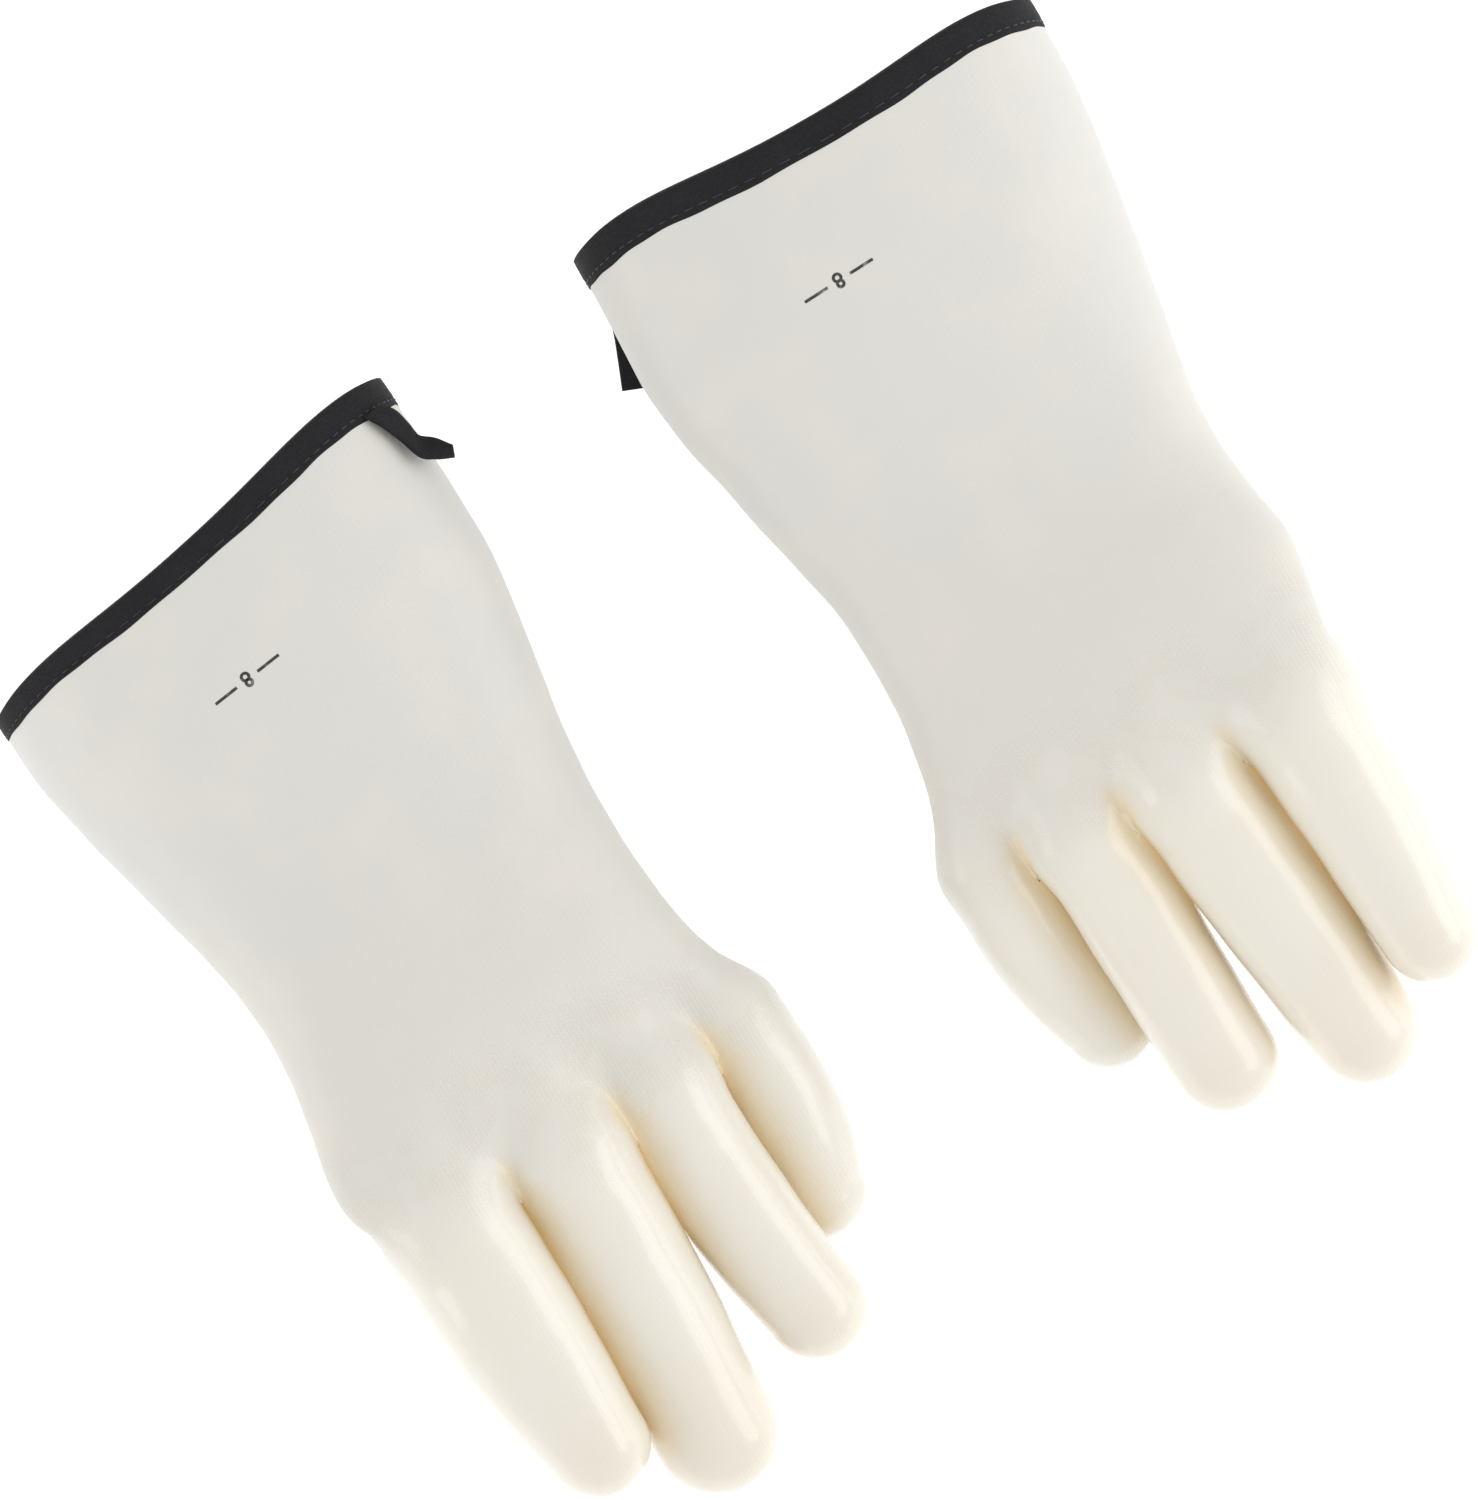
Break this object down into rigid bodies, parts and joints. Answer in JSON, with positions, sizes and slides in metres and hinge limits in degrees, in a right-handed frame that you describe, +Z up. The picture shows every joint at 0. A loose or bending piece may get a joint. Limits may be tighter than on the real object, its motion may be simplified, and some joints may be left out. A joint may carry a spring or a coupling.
{
  "type": "electrical insulating gloves",
  "caption": "Pair of dipped rubber insulating gauntlets with knitted lining, bound cuffs, and fingers, thumbs and wrists that bend.",
  "frame": {"origin": "on the surface the gloves lie on, under the middle of the pair", "axes": "+Z up, +Y towards the cuffs, fingers towards -Y; the left glove is at -X and the right glove at +X, backs of the hands up"},
  "size_m": [0.3102, 0.2825, 0.0662],
  "materials": {
    "rubber": "satin",
    "knit_lining": "matte",
    "tape": "matte",
    "thread": "satin"
  },
  "bodies": {
    "left_hand": {"left_hand_shell": "rubber", "left_palm_lining": "knit_lining", "left_wrist_fold": "rubber", "left_knuckle_folds": "rubber", "left_thumb_fold": "rubber"},
    "left_cuff": {"left_cuff_shell": "rubber", "left_cuff_lining": "knit_lining", "left_cuff_binding": "tape", "left_binding_thread": "thread"},
    "left_tail": {"left_binding_tail": "tape"},
    "left_thumb": {"left_thumb_shell": "rubber", "left_thumb_lining": "knit_lining"},
    "left_index_lower": {"left_index_lower_shell": "rubber", "left_index_joint_fold": "rubber", "left_index_lining": "knit_lining"},
    "left_index_tip": {"left_index_tip_shell": "rubber"},
    "left_middle_lower": {"left_middle_lower_shell": "rubber", "left_middle_joint_fold": "rubber", "left_middle_lining": "knit_lining"},
    "left_middle_tip": {"left_middle_tip_shell": "rubber"},
    "left_ring_lower": {"left_ring_lower_shell": "rubber", "left_ring_joint_fold": "rubber", "left_ring_lining": "knit_lining"},
    "left_ring_tip": {"left_ring_tip_shell": "rubber"},
    "left_little_lower": {"left_little_lower_shell": "rubber", "left_little_joint_fold": "rubber", "left_little_lining": "knit_lining"},
    "left_little_tip": {"left_little_tip_shell": "rubber"},
    "right_hand": {"right_hand_shell": "rubber", "right_palm_lining": "knit_lining", "right_wrist_fold": "rubber", "right_knuckle_folds": "rubber", "right_thumb_fold": "rubber"},
    "right_cuff": {"right_cuff_shell": "rubber", "right_cuff_lining": "knit_lining", "right_cuff_binding": "tape", "right_binding_thread": "thread"},
    "right_tail": {"right_binding_tail": "tape"},
    "right_thumb": {"right_thumb_shell": "rubber", "right_thumb_lining": "knit_lining"},
    "right_index_lower": {"right_index_lower_shell": "rubber", "right_index_joint_fold": "rubber", "right_index_lining": "knit_lining"},
    "right_index_tip": {"right_index_tip_shell": "rubber"},
    "right_middle_lower": {"right_middle_lower_shell": "rubber", "right_middle_joint_fold": "rubber", "right_middle_lining": "knit_lining"},
    "right_middle_tip": {"right_middle_tip_shell": "rubber"},
    "right_ring_lower": {"right_ring_lower_shell": "rubber", "right_ring_joint_fold": "rubber", "right_ring_lining": "knit_lining"},
    "right_ring_tip": {"right_ring_tip_shell": "rubber"},
    "right_little_lower": {"right_little_lower_shell": "rubber", "right_little_joint_fold": "rubber", "right_little_lining": "knit_lining"},
    "right_little_tip": {"right_little_tip_shell": "rubber"}
  },
  "joints": [
    {"name": "left_wrist_bend", "type": "hinge", "parent": "left_hand", "child": "left_cuff", "pos_m": [-0.0896, 0.025, 0.0368], "axis": [0.9945, 0, -0.1045], "range_deg": [-20, 20], "stiffness_Nm_per_rad": 1.2, "deforming": ["left_wrist_fold", "left_cuff_lining"]},
    {"name": "left_index_knuckle", "type": "hinge", "parent": "left_hand", "child": "left_index_lower", "pos_m": [-0.1229, -0.048, 0.0494], "axis": [0.9135, 0, -0.4067], "range_deg": [-10, 50], "stiffness_Nm_per_rad": 0.25, "deforming": ["left_knuckle_folds", "left_index_lining"]},
    {"name": "left_index_joint", "type": "hinge", "parent": "left_index_lower", "child": "left_index_tip", "pos_m": [-0.12218, -0.08061, 0.04714], "axis": [0.9135, 0, -0.4067], "range_deg": [-8, 40], "stiffness_Nm_per_rad": 0.15, "deforming": ["left_index_joint_fold", "left_index_lining"]},
    {"name": "left_middle_knuckle", "type": "hinge", "parent": "left_hand", "child": "left_middle_lower", "pos_m": [-0.0887, -0.05, 0.0438], "axis": [0.9135, 0, -0.4067], "range_deg": [-10, 50], "stiffness_Nm_per_rad": 0.25, "deforming": ["left_knuckle_folds", "left_middle_lining"]},
    {"name": "left_middle_joint", "type": "hinge", "parent": "left_middle_lower", "child": "left_middle_tip", "pos_m": [-0.09203, -0.08864, 0.03686], "axis": [0.9135, 0, -0.4067], "range_deg": [-8, 40], "stiffness_Nm_per_rad": 0.15, "deforming": ["left_middle_joint_fold", "left_middle_lining"]},
    {"name": "left_ring_knuckle", "type": "hinge", "parent": "left_hand", "child": "left_ring_lower", "pos_m": [-0.0607, -0.048, 0.0372], "axis": [0.9135, 0, -0.4067], "range_deg": [-10, 50], "stiffness_Nm_per_rad": 0.25, "deforming": ["left_knuckle_folds", "left_ring_lining"]},
    {"name": "left_ring_joint", "type": "hinge", "parent": "left_ring_lower", "child": "left_ring_tip", "pos_m": [-0.06007, -0.08165, 0.03277], "axis": [0.9135, 0, -0.4067], "range_deg": [-8, 40], "stiffness_Nm_per_rad": 0.15, "deforming": ["left_ring_joint_fold", "left_ring_lining"]},
    {"name": "left_little_knuckle", "type": "hinge", "parent": "left_hand", "child": "left_little_lower", "pos_m": [-0.0359, -0.0435, 0.0264], "axis": [0.9135, 0, -0.4067], "range_deg": [-10, 50], "stiffness_Nm_per_rad": 0.25, "deforming": ["left_knuckle_folds", "left_little_lining"]},
    {"name": "left_little_joint", "type": "hinge", "parent": "left_little_lower", "child": "left_little_tip", "pos_m": [-0.03769, -0.06801, 0.01941], "axis": [0.9135, 0, -0.4067], "range_deg": [-8, 40], "stiffness_Nm_per_rad": 0.15, "deforming": ["left_little_joint_fold", "left_little_lining"]},
    {"name": "left_thumb_spread", "type": "hinge", "parent": "left_hand", "child": "left_thumb", "pos_m": [-0.1265, -0.001, 0.022], "axis": [0, 0, -1], "range_deg": [-5, 35], "stiffness_Nm_per_rad": 0.25, "deforming": ["left_thumb_fold", "left_thumb_lining"]},
    {"name": "left_tail_lift", "type": "hinge", "parent": "left_cuff", "child": "left_tail", "pos_m": [-0.03284, 0.13039, 0.0479], "axis": [-0.6969, 0, 0.7172], "range_deg": [0, 70], "stiffness_Nm_per_rad": 0.002},
    {"name": "right_wrist_bend", "type": "hinge", "parent": "right_hand", "child": "right_cuff", "pos_m": [0.0896, 0.025, 0.0368], "axis": [0.9945, 0, 0.1045], "range_deg": [-20, 20], "stiffness_Nm_per_rad": 1.2, "deforming": ["right_wrist_fold", "right_cuff_lining"]},
    {"name": "right_index_knuckle", "type": "hinge", "parent": "right_hand", "child": "right_index_lower", "pos_m": [0.1229, -0.048, 0.0494], "axis": [0.9135, 0, 0.4067], "range_deg": [-10, 50], "stiffness_Nm_per_rad": 0.25, "deforming": ["right_knuckle_folds", "right_index_lining"]},
    {"name": "right_index_joint", "type": "hinge", "parent": "right_index_lower", "child": "right_index_tip", "pos_m": [0.12218, -0.08061, 0.04714], "axis": [0.9135, 0, 0.4067], "range_deg": [-8, 40], "stiffness_Nm_per_rad": 0.15, "deforming": ["right_index_joint_fold", "right_index_lining"]},
    {"name": "right_middle_knuckle", "type": "hinge", "parent": "right_hand", "child": "right_middle_lower", "pos_m": [0.0887, -0.05, 0.0438], "axis": [0.9135, 0, 0.4067], "range_deg": [-10, 50], "stiffness_Nm_per_rad": 0.25, "deforming": ["right_knuckle_folds", "right_middle_lining"]},
    {"name": "right_middle_joint", "type": "hinge", "parent": "right_middle_lower", "child": "right_middle_tip", "pos_m": [0.09203, -0.08864, 0.03686], "axis": [0.9135, 0, 0.4067], "range_deg": [-8, 40], "stiffness_Nm_per_rad": 0.15, "deforming": ["right_middle_joint_fold", "right_middle_lining"]},
    {"name": "right_ring_knuckle", "type": "hinge", "parent": "right_hand", "child": "right_ring_lower", "pos_m": [0.0607, -0.048, 0.0372], "axis": [0.9135, 0, 0.4067], "range_deg": [-10, 50], "stiffness_Nm_per_rad": 0.25, "deforming": ["right_knuckle_folds", "right_ring_lining"]},
    {"name": "right_ring_joint", "type": "hinge", "parent": "right_ring_lower", "child": "right_ring_tip", "pos_m": [0.06007, -0.08165, 0.03277], "axis": [0.9135, 0, 0.4067], "range_deg": [-8, 40], "stiffness_Nm_per_rad": 0.15, "deforming": ["right_ring_joint_fold", "right_ring_lining"]},
    {"name": "right_little_knuckle", "type": "hinge", "parent": "right_hand", "child": "right_little_lower", "pos_m": [0.0359, -0.0435, 0.0264], "axis": [0.9135, 0, 0.4067], "range_deg": [-10, 50], "stiffness_Nm_per_rad": 0.25, "deforming": ["right_knuckle_folds", "right_little_lining"]},
    {"name": "right_little_joint", "type": "hinge", "parent": "right_little_lower", "child": "right_little_tip", "pos_m": [0.03769, -0.06801, 0.01941], "axis": [0.9135, 0, 0.4067], "range_deg": [-8, 40], "stiffness_Nm_per_rad": 0.15, "deforming": ["right_little_joint_fold", "right_little_lining"]},
    {"name": "right_thumb_spread", "type": "hinge", "parent": "right_hand", "child": "right_thumb", "pos_m": [0.1265, -0.001, 0.022], "axis": [0, 0, 1], "range_deg": [-5, 35], "stiffness_Nm_per_rad": 0.25, "deforming": ["right_thumb_fold", "right_thumb_lining"]},
    {"name": "right_tail_lift", "type": "hinge", "parent": "right_cuff", "child": "right_tail", "pos_m": [0.02833, 0.13107, 0.02107], "axis": [0.4591, 0, -0.8884], "range_deg": [0, 70], "stiffness_Nm_per_rad": 0.002},
    {"name": "right_glove_lift", "type": "slide", "parent": "left_hand", "child": "right_hand", "axis": [0, 0, 1], "range_m": [0, 0.25]}
  ],
  "couplings": [
    {"joint": "left_index_joint", "follows": "left_index_knuckle", "ratio": 0.8},
    {"joint": "left_middle_joint", "follows": "left_middle_knuckle", "ratio": 0.8},
    {"joint": "left_ring_joint", "follows": "left_ring_knuckle", "ratio": 0.8},
    {"joint": "left_little_joint", "follows": "left_little_knuckle", "ratio": 0.8},
    {"joint": "right_index_joint", "follows": "right_index_knuckle", "ratio": 0.8},
    {"joint": "right_middle_joint", "follows": "right_middle_knuckle", "ratio": 0.8},
    {"joint": "right_ring_joint", "follows": "right_ring_knuckle", "ratio": 0.8},
    {"joint": "right_little_joint", "follows": "right_little_knuckle", "ratio": 0.8}
  ]
}
